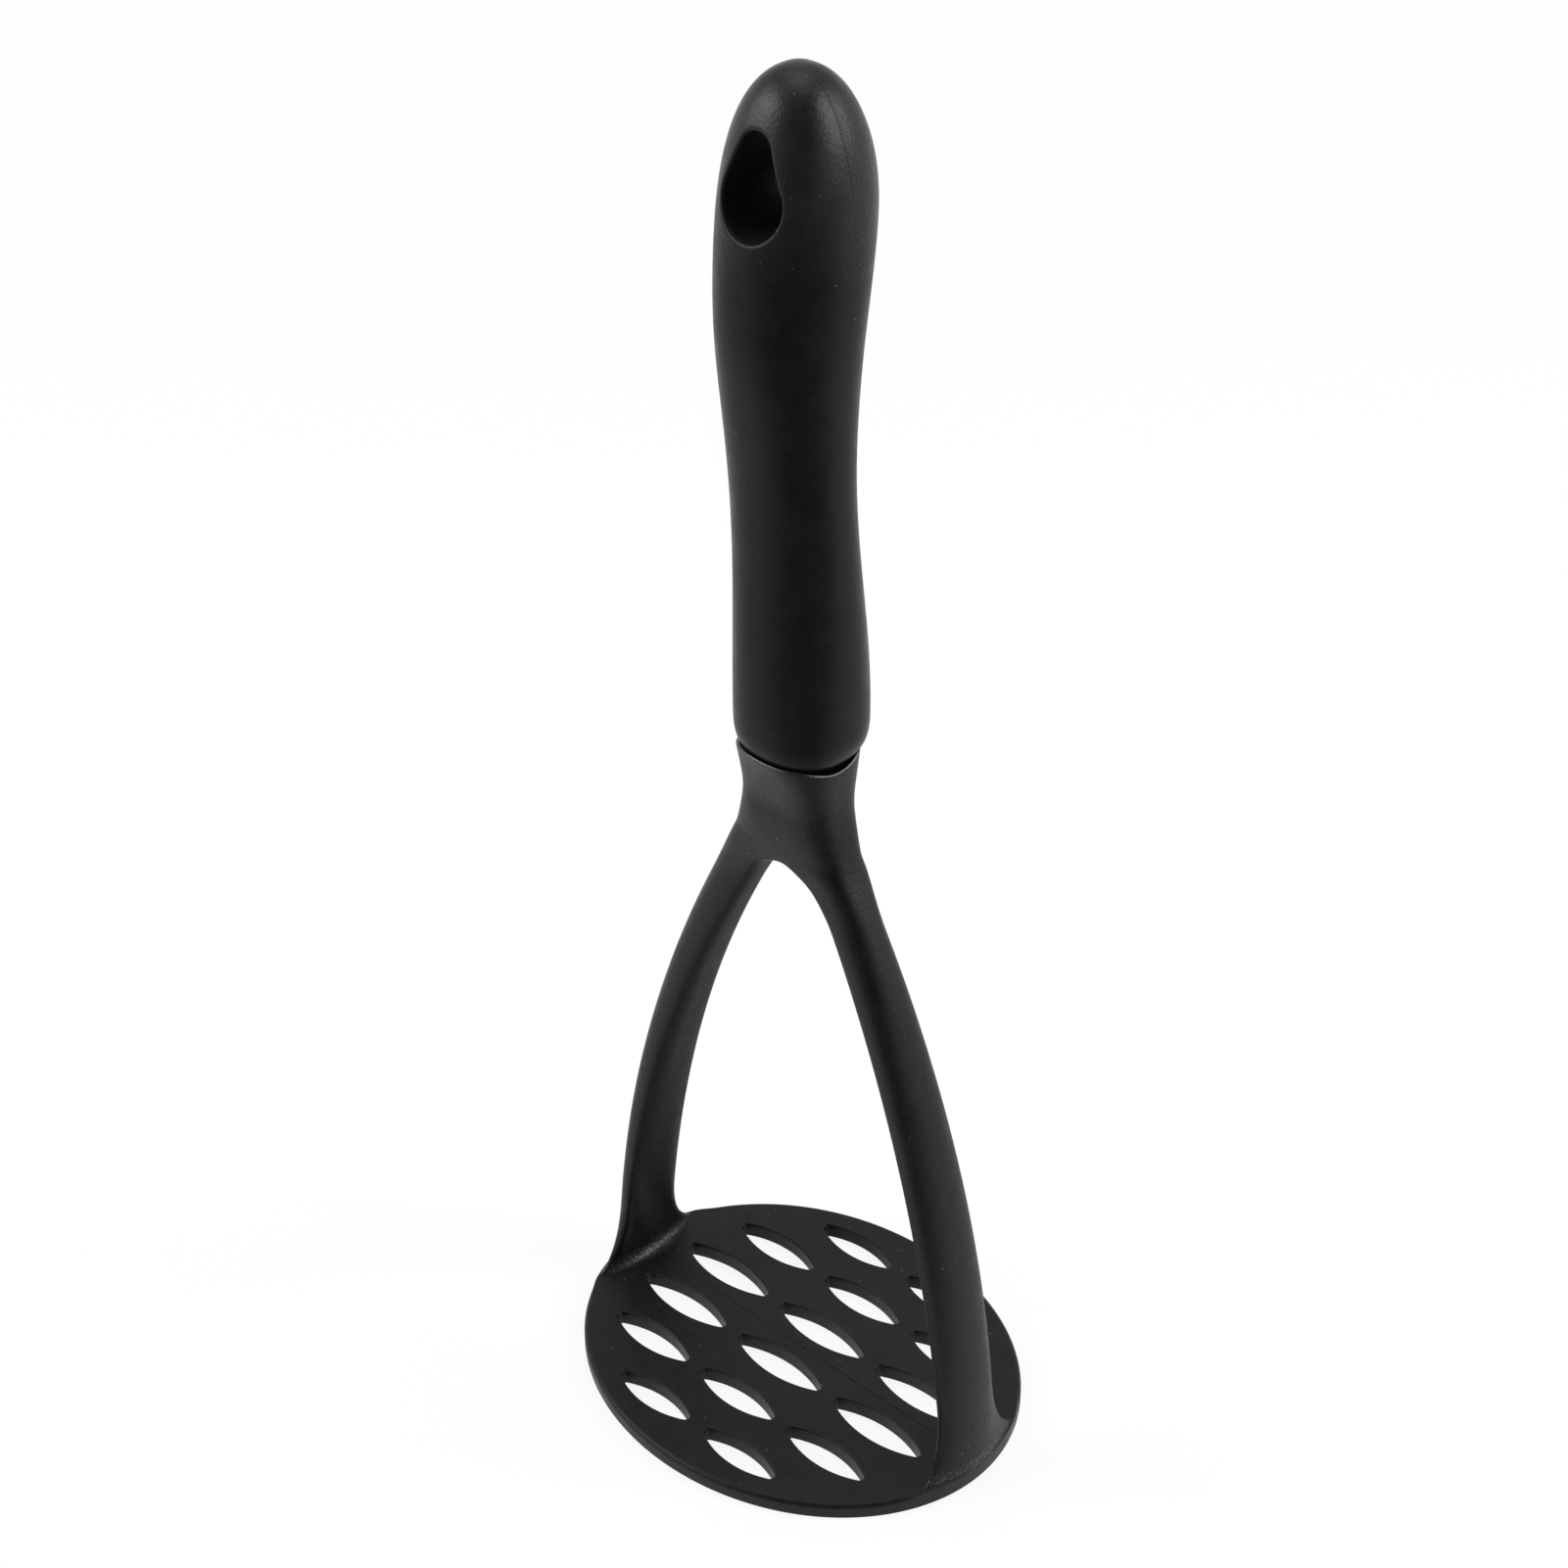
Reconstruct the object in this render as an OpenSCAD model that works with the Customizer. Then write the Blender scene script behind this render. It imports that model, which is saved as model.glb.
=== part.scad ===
// Potato masher: a moulded nylon mashing head pressed into a contoured handle.
// The plate lies flat on the surface, the legs arch up to the neck, and the handle rises along +Z.
// The origin is at the middle of the plate's underside; the legs stand at +X and -X.

/* [Mashing plate] */
// Length of the oval plate, from foot to foot
plate_l = 90; // [84:0.2:104]
// Width of the oval plate, front to back
plate_w = 74.6; // [70:0.2:90]
// Thickness of the plate
plate_t = 3.2; // [2.4:0.1:4.5]
// Rounding of the rim's lower edge
rim_lower_round = 0.4; // [0.2:0.1:1]
// Rounding of the rim's upper edge
rim_upper_round = 1; // [0.2:0.1:1.4]

/* [Slots] */
// Distance of each row of slots from the plate's centre line, from the inner row to the outer row
slot_row_y = [5.9, 17.3, 28.1]; // [4:0.1:30]
// Distance between neighbouring slots in each row
slot_pitch = [24.9, 22.4, 21.8]; // [20:0.1:28]
// Number of slots in each row
slot_count = [3, 3, 2]; // [1:1:3]
// Length of the slots in each row
slot_l = [21, 18.6, 17.4]; // [14:0.1:22]
// Width of the slots in each row
slot_w = [6.3, 5.9, 5.5]; // [4:0.1:7]
// Radius of the slots' tips
slot_tip_r = 0.9; // [0.5:0.1:1.6]

/* [Legs] */
// Height at which the legs run into the neck
shoulder_z = 108; // [98:0.5:120]
// Outer distance across both legs at the shoulder
shoulder_span = 37.2; // [34:0.2:44]
// Clear gap between the legs at the shoulder
shoulder_gap = 19.6; // [17:0.2:22]
// Clear gap between the legs at the plate
foot_gap = 80.4; // [74:0.2:82]
// Radius of the bow of each leg's outer face
outer_bow_r = 285; // [250:1:600]
// Radius of the bow of each leg's inner face
inner_bow_r = 264; // [180:1:400]
// Width of each leg, front to back, above the foot
leg_w = 13.4; // [10:0.2:16]
// Width of each leg, front to back, at the shoulder
shoulder_w = 8.6; // [7:0.2:10]
// Width of each foot where it spreads into the plate's rim
foot_w = 27; // [22:0.2:36]
// Height over which the foot spreads
foot_spread_h = 14.5; // [8:0.5:24]
// Fillet between the leg's inner face and the plate
foot_fillet = 2; // [0.5:0.1:3]

/* [Neck and collar] */
// Radius under the crown of the arch
crown_r = 8.1; // [6:0.1:9]
// Width of the neck, along X
neck_w = 19.2; // [18:0.2:24]
// Depth of the neck below the collar, front to back
neck_d = 11.8; // [10:0.2:16]
// Width of the collar's rim, along X
collar_w = 20; // [19:0.2:24]
// Depth of the collar's rim, front to back
collar_d = 19.2; // [18:0.2:22]
// Height of the collar's rim at its two sides
collar_z = 139.4; // [136:0.1:146]
// Thickness of the collar's rim around the handle's rounded end
rim_wall = 0.4; // [0.3:0.1:1]
// Height by which the rim rises from its two sides to the front and the back
rim_rise = 2; // [1:0.1:3]

/* [Handle] */
// Depth of the handle's end below the rim's two sides
seat_depth = 0.2; // [0:0.1:1]
// Length of the handle
handle_l = 119.9; // [110:0.5:145]
// Width of the handle above its rounded lower end
grip_foot_w = 22; // [20:0.2:26]
// Depth of the handle above its rounded lower end
grip_foot_d = 21; // [18:0.2:24]
// Width of the handle at its waist
grip_waist_w = 20.8; // [19:0.2:25]
// Depth of the handle at its waist
grip_waist_d = 17.2; // [16:0.2:22]
// Width of the handle at its upper swell
grip_swell_w = 23.4; // [21:0.2:30]
// Depth of the handle at its upper swell
grip_swell_d = 23.2; // [19:0.2:26]
// Height of the waist above the handle's lower end
waist_h = 48.3; // [40:0.1:60]
// Height of the upper swell above the handle's lower end
swell_h = 94.3; // [85:0.1:100]
// Height of the rounding at the lower end
foot_round_h = 8.4; // [7:0.1:10]
// Offset to the back at the lower end
foot_offset = 0.85; // [0:0.05:1.5]
// Offset to the front between the waist and the swell
palm_offset = 1.7; // [0:0.05:2.5]
// Offset to the back at the swell
swell_offset = 0.7; // [0:0.05:1.5]

/* [Hanging hole] */
// Width of the hanging hole
hang_w = 11.8; // [8:0.2:14]
// Height of the centre of its wide lower round above the handle's lower end
hang_h = 101.3; // [96:0.1:104]
// Radius of its narrow upper round
hang_top_r = 3; // [2:0.1:4]
// Distance between its lower and upper rounds
hang_rise = 7.4; // [4:0.1:9]
// Rounding of its two mouths
hang_lip = 0.8; // [0.5:0.1:2]

/* [Tang and socket] */
// Width of the tang
tang_w = 12; // [9:0.2:13]
// Depth of the tang
tang_d = 9; // [7:0.2:10]
// Length of the tang
tang_l = 55; // [40:1:65]
// Thickness of the tang's lengthwise ribs
tang_rib_t = 2.6; // [2:0.1:4]
// Number of webs across the tang
tang_webs = 5; // [3:1:7]
// Thickness of each web
tang_web_t = 1.8; // [1.2:0.1:3]
// Clearance between the tang and its socket, and between the handle and the collar
fit_gap = 0.15; // [0.05:0.01:0.3]

/* [Hidden] */
nylon = [0.16, 0.16, 0.165];
gloss_black = [0.1, 0.1, 0.105];
cut_margin = 1;

// Fineness of the lofted shapes
plate_points = 76;
slot_side_steps = 10;
slot_tip_steps = 5;
leg_points = 24;
leg_step = 4;
neck_points = 36;
neck_step = 1.8;
grip_points = 36;
hang_points = 36;
grip_step = 3;

// Fullness of the sections: 2 is an ellipse, and a higher value is a fuller, flatter one
leg_fullness = 2.6;
foot_fullness = 2.3;
neck_fullness = 3.5;
collar_fullness = 2.5;
grip_fullness = 2.4;
end_fullness = 3.3;
top_fullness = 2.2;

// The leg and the neck share one section at the shoulder
shoulder_t = (shoulder_span - shoulder_gap) / 2;
leg_blend = 3.2;
leg_taper = 2.3;
foot_merge = 5;
arch_margin = 0.06;
collar_flare_z = collar_z - 10.4;
collar_flare_power = 1.6;
rim_points = 16;
rim_z = collar_z + rim_rise;
handle_z = collar_z - seat_depth;
dish_z = handle_z - fit_gap;

// The rounded lower end of the handle is part of a taller dome
end_dome_ratio = 1.107;
end_dome_h = foot_round_h * end_dome_ratio;
grip_full_z = handle_z + foot_round_h;
swell_z = handle_z + swell_h;
handle_top = handle_z + handle_l;
palm_h = (waist_h + swell_h) / 2;

// ---- Helpers ----

function clamp01(t) = max(0, min(1, t));

// Runs smoothly from 0 to 1 as t does
function ease(t) = (1 - cos(180 * clamp01(t))) / 2;

function mix(a, b, t) = a + (b - a) * t;

// The larger of two values, with a soft change between them
function soft_max(a, b, k) = max(a, b) + pow(max(k - abs(a - b), 0), 2) / (4 * k);

// Runs from 1 at t = 0 to 0 at t = 1 like the profile of a concave fillet
function fillet(t) = 1 - sqrt(1 - pow(1 - clamp01(t), 2));

// Signed power, which turns a circle's sine or cosine into a fuller oval's
function full(c, n) = sign(c) * pow(abs(c), 2 / n);

// Points along an arc in n steps, with its ends or between them
function arc(centre, r, from, to, n) =
  [for (i = [0 : n]) let (a = mix(from, to, i / n)) centre + r * [cos(a), sin(a)]];
function arc_between(centre, r, from, to, n) =
  [for (i = [1 : n - 1]) let (a = mix(from, to, i / n)) centre + r * [cos(a), sin(a)]];

// Height shares of a dome's rings, closer together towards its pole
function dome_share(i, n) = sin(90 * i / n);

// Solid through a stack of rings that run counter-clockwise seen from their last ring.
// Points j and n - j of a ring lie opposite each other, so each cap is a strip of flat triangles.
module skin(rings) {
  n = len(rings[0]);
  last = (len(rings) - 1) * n;
  points = [for (ring = rings) each ring];
  sides = [
    for (i = [0 : len(rings) - 2])
      for (j = [0 : n - 1])
        let (a = i * n + j, b = i * n + (j + 1) % n)
          each [[a, a + n, b + n], [a, b + n, b]]
  ];
  start_cap = [
    for (j = [0 : n / 2 - 1])
      let (a = j, b = j + 1, c = n - j - 1, d = (n - j) % n)
        each [if (b != c) [a, b, c], if (a != d) [a, c, d]]
  ];
  end_cap = [for (face = start_cap) [for (k = [2 : -1 : 0]) last + face[k]]];
  polyhedron(points, concat(start_cap, sides, end_cap));
}

// ---- Mashing plate ----

// Rim outline at height z, drawn in by lower all round and by upper away from the feet
function plate_ring(z, lower, upper) = [
  for (j = [0 : plate_points - 1])
    let (
      a = -90 + 360 * j / plate_points,
      foot_edge = abs(plate_w / 2 * sin(a)) - foot_w / 2,
      inset = lower + upper * ease(foot_edge / foot_merge)
    )
      [(plate_l / 2 - inset) * cos(a), (plate_w / 2 - inset) * sin(a), z]
];

module plate_blank() {
  skin(concat(
    [for (a = [0 : 45 : 90])
      plate_ring(rim_lower_round * (1 - cos(a)), rim_lower_round * (1 - sin(a)), 0)],
    [for (a = [0 : 22.5 : 90])
      plate_ring(plate_t - rim_upper_round * (1 - sin(a)), 0, rim_upper_round * (1 - cos(a)))]
  ));
}

// Outline of a pointed oval slot: two side arcs that run into rounded tips
function slot_outline(length, width) =
  let (
    tip_x = length / 2 - slot_tip_r,
    side_r = (pow(tip_x, 2) + pow(width / 2, 2) - pow(slot_tip_r, 2)) / (width - 2 * slot_tip_r),
    drop = side_r - width / 2,
    reach = atan2(tip_x, drop)
  )
    concat(
      arc([tip_x, 0], slot_tip_r, reach - 90, 90 - reach, slot_tip_steps),
      arc_between([0, -drop], side_r, 90 - reach, 90 + reach, slot_side_steps),
      arc([-tip_x, 0], slot_tip_r, 90 + reach, 270 - reach, slot_tip_steps),
      arc_between([0, drop], side_r, 270 - reach, 270 + reach, slot_side_steps)
    );

module slot_row(row, side) {
  for (i = [0 : slot_count[row] - 1])
    translate([(i - (slot_count[row] - 1) / 2) * slot_pitch[row], side * slot_row_y[row], -cut_margin])
      linear_extrude(plate_t + 2 * cut_margin)
        polygon(slot_outline(slot_l[row], slot_w[row]));
}

module mashing_plate() {
  color(nylon)
    difference() {
      plate_blank();
      for (row = [0 : len(slot_row_y) - 1])
        for (side = [-1, 1])
          slot_row(row, side);
    }
}

// ---- Legs ----

// Centre of the arc of radius r through two points, on the side of the masher's axis
function bow_centre(low, high, r) =
  let (half = (high - low) / 2, reach = sqrt(pow(r, 2) - pow(norm(half), 2)) / norm(half))
    (low + high) / 2 + reach * [-half[1], half[0]];

outer_centre = bow_centre([plate_l / 2, plate_t], [shoulder_span / 2, shoulder_z], outer_bow_r);
inner_centre = bow_centre([foot_gap / 2, plate_t], [shoulder_gap / 2, shoulder_z], inner_bow_r);

function bow_x(z, centre, r) = centre[0] + sqrt(pow(r, 2) - pow(z - centre[1], 2));
function outer_x(z) = bow_x(z, outer_centre, outer_bow_r);
function inner_x(z) = bow_x(z, inner_centre, inner_bow_r) - foot_fillet * fillet((z - plate_t) / foot_fillet);

function foot_spread(z) = fillet((z - plate_t) / foot_spread_h);
function leg_rise(z) = max(0, (z - plate_t) / (shoulder_z - plate_t));
function leg_half_w(z) =
  mix(leg_w, shoulder_w, pow(leg_rise(z), leg_taper)) / 2 + (foot_w - leg_w) / 2 * foot_spread(z);

// How far the rim's outline draws in at a distance y from the centre line
function rim_fall(y) = plate_l / 2 * (1 - sqrt(1 - pow(2 * y / plate_w, 2)));

// Leg section at height z: its outer face follows the rim, and the foot thins out along the rim
function leg_ring(z) = [
  let (
    spread = foot_spread(z),
    half_w = leg_half_w(z),
    outer = outer_x(z),
    thick = outer - inner_x(z),
    share = (1 - spread) / 2,
    fullness = mix(foot_fullness, leg_fullness, ease(2 * leg_rise(z)))
  )
    for (j = [0 : leg_points - 1])
      let (
        a = -90 + 360 * j / leg_points,
        y = half_w * full(sin(a), fullness),
        body = mix(pow(abs(cos(a)), 2 / fullness), cos(90 * y / half_w), spread),
        face = outer - rim_fall(y) * (1 - leg_rise(z)) - share * thick * (1 - body)
      )
        [cos(a) > 0 ? face : face - thick * body, y, z]
];

function leg_heights() = concat(
  [for (t = [0, 0.02, 0.05, 0.1, 0.17, 0.27, 0.4, 0.58, 0.78]) plate_t + t * foot_spread_h],
  [for (i = [0 : ceil((shoulder_z - plate_t - foot_spread_h) / leg_step)])
    let (n = ceil((shoulder_z - plate_t - foot_spread_h) / leg_step))
      mix(plate_t + foot_spread_h, shoulder_z, i / n)]
);

module leg() {
  color(nylon) skin([for (z = leg_heights()) leg_ring(z)]);
}

module leg_right() {
  leg();
}

module leg_left() {
  rotate([0, 0, 180]) leg();
}

// ---- Neck ----

function collar_flare(z) =
  pow(max(0, z - collar_flare_z) / (rim_z - collar_flare_z), collar_flare_power);
function neck_turn(z) = ease((z - shoulder_z) / (collar_flare_z - shoulder_z));
function neck_half_w(z) = soft_max(outer_x(z), mix(neck_w, collar_w, collar_flare(z)) / 2, leg_blend);
function neck_half_d(z) = mix(leg_half_w(z), mix(neck_d, collar_d, collar_flare(z)) / 2, neck_turn(z));

// Neck section at height z, drawn in by inset: flat with rounded ends at the shoulder, then a full
// oval that turns round at the collar
function neck_ring(z, inset = 0) = [
  let (
    half_w = neck_half_w(z) - inset,
    half_d = neck_half_d(z) - inset,
    end = mix(shoulder_t / 2, half_w, neck_turn(z)),
    fullness = mix(mix(leg_fullness, neck_fullness, neck_turn(z)), collar_fullness, collar_flare(z))
  )
    for (j = [0 : neck_points - 1])
      let (a = -90 + 360 * j / neck_points, side = abs(cos(a)) < 0.001 ? 0 : sign(cos(a)))
        [side * (half_w - end + end * pow(abs(cos(a)), 2 / fullness)),
         half_d * full(sin(a), fullness), z]
];

// The crown's arc touches both inner bows
crown_z = inner_centre[1] + sqrt(pow(inner_bow_r - crown_r, 2) - pow(inner_centre[0], 2));
crown_angle = atan2(crown_z - inner_centre[1], -inner_centre[0]);
arch_low_angle = asin((shoulder_z - cut_margin * 3 - inner_centre[1]) / inner_bow_r);

// Right half of the outline of the arch under the crown, grown by grow, without its top
function arch_side(grow) = concat(
  arc(inner_centre, inner_bow_r + grow, arch_low_angle, crown_angle, 6),
  arc_between([0, crown_z], crown_r + grow, crown_angle, 90, 8)
);
function arch_ring(y, grow) =
  let (half = arch_side(grow), n = len(half))
    concat(
      [[0, y, half[0][1] - cut_margin]],
      [for (p = half) [p[0], y, p[1]]],
      [[0, y, crown_z + crown_r + grow]],
      [for (i = [n - 1 : -1 : 0]) [-half[i][0], y, half[i][1]]]
    );

// The arch's cutter widens towards the front and the back, and rounds the edges as the legs' are
module arch_cutter() {
  round_w = shoulder_w / 2 + arch_margin;
  inside = [
    for (a = [90 : -15 : 0])
      [round_w * full(cos(a), leg_fullness), shoulder_t / 2 * (1 - full(sin(a), leg_fullness))]
  ];
  outside = [[collar_d, inside[6][1] + cut_margin]];
  back = concat(inside, outside);
  front = [for (i = [len(back) - 1 : -1 : 1]) [-back[i][0], back[i][1]]];
  skin([for (step = concat(front, back)) arch_ring(-step[0], step[1])]);
}

// Saddle-shaped cut over the collar's rim, which is lowest at its two sides
module saddle_cutter() {
  profile = [
    for (i = [-rim_points : rim_points])
      let (t = i / rim_points) [collar_d / 2 * t, collar_z + rim_rise * ease(abs(t))]
  ];
  top = rim_z + 4 * cut_margin;
  rotate([90, 0, 90])
    linear_extrude(2 * collar_w, center = true)
      polygon(concat(
        [[-collar_d, top], [-collar_d, rim_z]],
        profile,
        [[collar_d, rim_z], [collar_d, top]]
      ));
}

module neck() {
  rings = ceil((rim_z - shoulder_z) / neck_step);
  color(nylon)
    difference() {
      skin([for (i = [0 : rings]) neck_ring(mix(shoulder_z, rim_z + cut_margin, i / rings))]);
      arch_cutter();
      saddle_cutter();
      skin([for (i = [0 : 3]) neck_ring(mix(dish_z, rim_z + 2 * cut_margin, i / 3), rim_wall)]);
      skin([for (i = [0 : 7]) grip_ring(mix(dish_z, grip_full_z, i / 7), fit_gap)]);
    }
}

// ---- Handle ----

function grip_rise(z) = z - handle_z;
function grip_swell(z, foot, waist, swell) =
  let (h = grip_rise(z))
    h < waist_h
      ? mix(foot, waist, ease((h - foot_round_h) / (waist_h - foot_round_h)))
      : mix(waist, swell, ease((h - waist_h) / (swell_h - waist_h)));

// Share of the full section that is left in the rounded lower end and in the domed top
function end_share(z) =
  z < grip_full_z ? pow(1 - pow((grip_full_z - z) / end_dome_h, end_fullness), 1 / end_fullness)
  : z > swell_z ? pow(1 - pow((z - swell_z) / (handle_top - swell_z), top_fullness), 1 / top_fullness)
  : 1;

// The handle leans to the back at its foot, to the front in the palm and to the back at its swell
function grip_centre_y(z) =
  let (h = grip_rise(z))
    h < palm_h
      ? mix(foot_offset, -palm_offset, ease((h - foot_round_h) / (palm_h - foot_round_h)))
      : mix(-palm_offset, swell_offset, ease((h - palm_h) / (swell_h + 15 - palm_h)));

function grip_half_w(z) = end_share(z) * grip_swell(z, grip_foot_w, grip_waist_w, grip_swell_w) / 2;
function grip_half_d(z) = end_share(z) * grip_swell(z, grip_foot_d, grip_waist_d, grip_swell_d) / 2;

function grip_ring(z, grow) = [
  for (j = [0 : grip_points - 1])
    let (a = -90 + 360 * j / grip_points)
      [(grip_half_w(z) + grow) * full(cos(a), grip_fullness),
       grip_centre_y(z) + (grip_half_d(z) + grow) * full(sin(a), grip_fullness), z]
];

function grip_heights() =
  let (n = ceil((swell_z - grip_full_z) / grip_step))
    concat(
      [for (i = [0 : 5]) mix(handle_z, grip_full_z, i / 6)],
      [for (i = [0 : n - 1]) mix(grip_full_z, swell_z, i / n)],
      [for (i = [0 : 12]) mix(swell_z, handle_top, dome_share(i, 12.4))]
    );

// Outline of the hanging hole as [x, height above its lower round's centre]: a wide and a narrow
// round, joined by their tangents
function hang_outline(grow) =
  let (
    low_r = hang_w / 2 + grow,
    high_r = hang_top_r + grow,
    tilt = asin((low_r - high_r) / hang_rise),
    n = hang_points / 2
  )
    concat(
      arc([0, 0], low_r, 180 - tilt, 360 + tilt, n - 1),
      arc([0, hang_rise], high_r, tilt, 180 - tilt, n - 1)
    );

// Distance from the handle's middle to its front or back surface
function grip_surface(x, z) =
  grip_half_d(z) * pow(max(1 - pow(abs(x) / grip_half_w(z), grip_fullness), 0), 1 / grip_fullness);

// One ring of the hole's cutter: side is -1 at the front and 1 at the back, and out is the distance
// out of the handle's surface
function hang_ring(side, out, grow) = [
  for (p = hang_outline(grow))
    let (z = handle_z + hang_h + p[1])
      [p[0], grip_centre_y(z) + side * (grip_surface(p[0], z) + out), z]
];

// The mouths' roundings follow the curved front and back of the handle
module hang_cutter() {
  lip = [for (a = [0 : 30 : 90]) [-hang_lip * (1 - sin(a)), hang_lip * (1 - cos(a))]];
  mouth = concat(lip, [[2 * cut_margin, hang_lip + cut_margin / 2]]);
  last = len(mouth) - 1;
  skin(concat(
    [for (i = [0 : last]) hang_ring(1, mouth[last - i][0], mouth[last - i][1])],
    [for (step = mouth) hang_ring(-1, step[0], step[1])]
  ));
}

// Rectangle with rounded corners
module soft_rectangle(width, depth, corner) {
  square([width - 2 * corner, depth], center = true);
  square([width, depth - 2 * corner], center = true);
  for (x = [-1, 1])
    for (y = [-1, 1])
      translate([x * (width / 2 - corner), y * (depth / 2 - corner)]) circle(r = corner, $fn = 32);
}

module handle() {
  color(gloss_black)
    difference() {
      skin([for (z = grip_heights()) grip_ring(z, 0)]);
      hang_cutter();
      translate([0, 0, handle_z - cut_margin])
        linear_extrude(tang_l + cut_margin + fit_gap)
          soft_rectangle(tang_w + 2 * fit_gap, tang_d + 2 * fit_gap, 1 + fit_gap);
    }
}

// ---- Tang ----

module tang() {
  color(nylon)
    translate([0, 0, dish_z]) {
      linear_extrude(tang_l - tang_web_t) {
        square([tang_w, tang_rib_t], center = true);
        square([tang_rib_t, tang_d], center = true);
      }
      for (i = [0 : tang_webs - 1])
        translate([0, 0, i * (tang_l - tang_web_t) / (tang_webs - 1)])
          linear_extrude(tang_web_t) soft_rectangle(tang_w, tang_d, 1);
    }
}

mashing_plate();
leg_left();
leg_right();
neck();
tang();
handle();
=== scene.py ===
import bpy
import numpy as np
from mathutils import Matrix, Vector


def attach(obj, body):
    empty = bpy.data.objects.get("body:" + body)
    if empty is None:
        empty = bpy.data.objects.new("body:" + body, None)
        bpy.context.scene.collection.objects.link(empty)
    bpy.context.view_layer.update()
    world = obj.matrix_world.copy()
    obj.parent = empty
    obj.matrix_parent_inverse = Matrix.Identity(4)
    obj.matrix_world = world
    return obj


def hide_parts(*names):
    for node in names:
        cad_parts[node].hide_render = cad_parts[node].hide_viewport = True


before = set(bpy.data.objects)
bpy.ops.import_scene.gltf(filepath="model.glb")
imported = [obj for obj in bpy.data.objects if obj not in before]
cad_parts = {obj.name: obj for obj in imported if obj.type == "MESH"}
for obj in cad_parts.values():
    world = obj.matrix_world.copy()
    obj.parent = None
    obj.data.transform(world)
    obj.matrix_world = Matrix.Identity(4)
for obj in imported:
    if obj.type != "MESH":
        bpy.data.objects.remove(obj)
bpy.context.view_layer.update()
print("frame loaded:", sorted(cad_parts))

mm = 0.001
tau = 2 * np.pi

# ---------- shared shape helpers ----------


def ease(t):
    # half a cosine wave: 0 to 1, level at both ends
    return (1 - np.cos(np.pi * np.clip(t, 0, 1))) / 2


def mix(a, b, t):
    return a + (b - a) * t


def softMax(a, b, k):
    # the larger value, with a parabola of width k where the two meet
    return np.maximum(a, b) + np.maximum(k - np.abs(a - b), 0) ** 2 / (4 * k)


def fillet(t):
    # quarter circle that falls from 1 to 0 and ends level
    return 1 - np.sqrt(1 - (1 - np.clip(t, 0, 1)) ** 2)


def full(c, n):
    # signed power 2/n of a sine or cosine: the coordinate of a superellipse of exponent n
    return np.sign(c) * np.abs(c) ** (2 / n)


def gridQuads(index, closed):
    # quads between neighbouring rows of an index grid; closed also joins the last column to the first
    ahead = np.roll(index, -1, axis=1) if closed else index[:, 1:]
    here = index if closed else index[:, :-1]
    return np.stack([here[:-1], ahead[:-1], ahead[1:], here[1:]], -1).reshape(-1, 4)


def fan(ring, centre):
    # triangles from a ring to one middle point, which turn the way the ring does
    ahead = np.roll(ring, -1)
    return np.stack([ring, ahead, np.full_like(ring, centre), np.full_like(ring, centre)], -1)


def makePiece(name, points, quads, closeness=1e-4):
    # welds points that lie in the same place, drops what collapses, and writes one smooth mesh
    keys = np.round(points / closeness).astype(np.int64)
    _, first, where = np.unique(keys, axis=0, return_index=True, return_inverse=True)
    points, quads = points[first], where.ravel()[quads]
    same = quads == np.roll(quads, -1, axis=1)
    whole = quads[same.sum(1) == 0]
    pinched, at = quads[same.sum(1) == 1], same[same.sum(1) == 1].argmax(1)
    turned = np.take_along_axis(pinched, (at[:, None] + 1 + np.arange(3)) % 4, 1)
    corners = np.concatenate([whole.ravel(), turned.ravel()])
    sizes = np.concatenate([np.full(len(whole), 4), np.full(len(turned), 3)])
    used, corners = np.unique(corners, return_inverse=True)
    mesh = bpy.data.meshes.new(name)
    mesh.vertices.add(len(used))
    mesh.vertices.foreach_set("co", (points[used] * mm).astype(np.float32).ravel())
    mesh.loops.add(len(corners))
    mesh.loops.foreach_set("vertex_index", corners.astype(np.int32).ravel())
    mesh.polygons.add(len(sizes))
    mesh.polygons.foreach_set("loop_start", (np.cumsum(sizes) - sizes).astype(np.int32))
    mesh.polygons.foreach_set("use_smooth", np.ones(len(sizes), bool))
    mesh.update(calc_edges=True)
    mesh.validate()
    piece = bpy.data.objects.new(name, mesh)
    bpy.context.scene.collection.objects.link(piece)
    return piece


def settle(piece):
    # replaces the mesh by the result of its modifiers
    bpy.context.view_layer.update()
    solved = bpy.data.meshes.new_from_object(piece.evaluated_get(bpy.context.evaluated_depsgraph_get()))
    piece.modifiers.clear()
    piece.data = solved


def relax(piece, bands, rounds):
    # smooths the points between given heights; each band is (low, high, strength)
    heights = np.empty(len(piece.data.vertices) * 3, np.float32)
    piece.data.vertices.foreach_get("co", heights)
    heights = heights[2::3] / mm
    group = piece.vertex_groups.new(name="relaxed")
    for low, high, strength in bands:
        group.add(np.flatnonzero((heights >= low) & (heights < high)).tolist(), strength, "REPLACE")
    soft = piece.modifiers.new("relax", "SMOOTH")
    soft.factor, soft.iterations, soft.vertex_group = 0.5, rounds, "relaxed"
    settle(piece)


def dress(piece, material, slotName, *nodes):
    piece.data.materials.clear()
    piece.data.materials.append(material)
    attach(piece, "root")
    if nodes:
        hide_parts(*nodes)


# ---------- sizes, in millimetres ----------

plate = {"length": 90, "width": 74.6, "thick": 3.2, "lowerRound": 0.4, "upperRound": 1.0,
         "rowY": (5.9, 17.3, 28.1), "pitch": (24.9, 22.4, 21.8), "count": (3, 3, 2),
         "slotLength": (21, 18.6, 17.4), "slotWidth": (6.3, 5.9, 5.5), "tipRadius": 0.9,
         "slotEdge": 0.32, "footMerge": 5}

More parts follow.
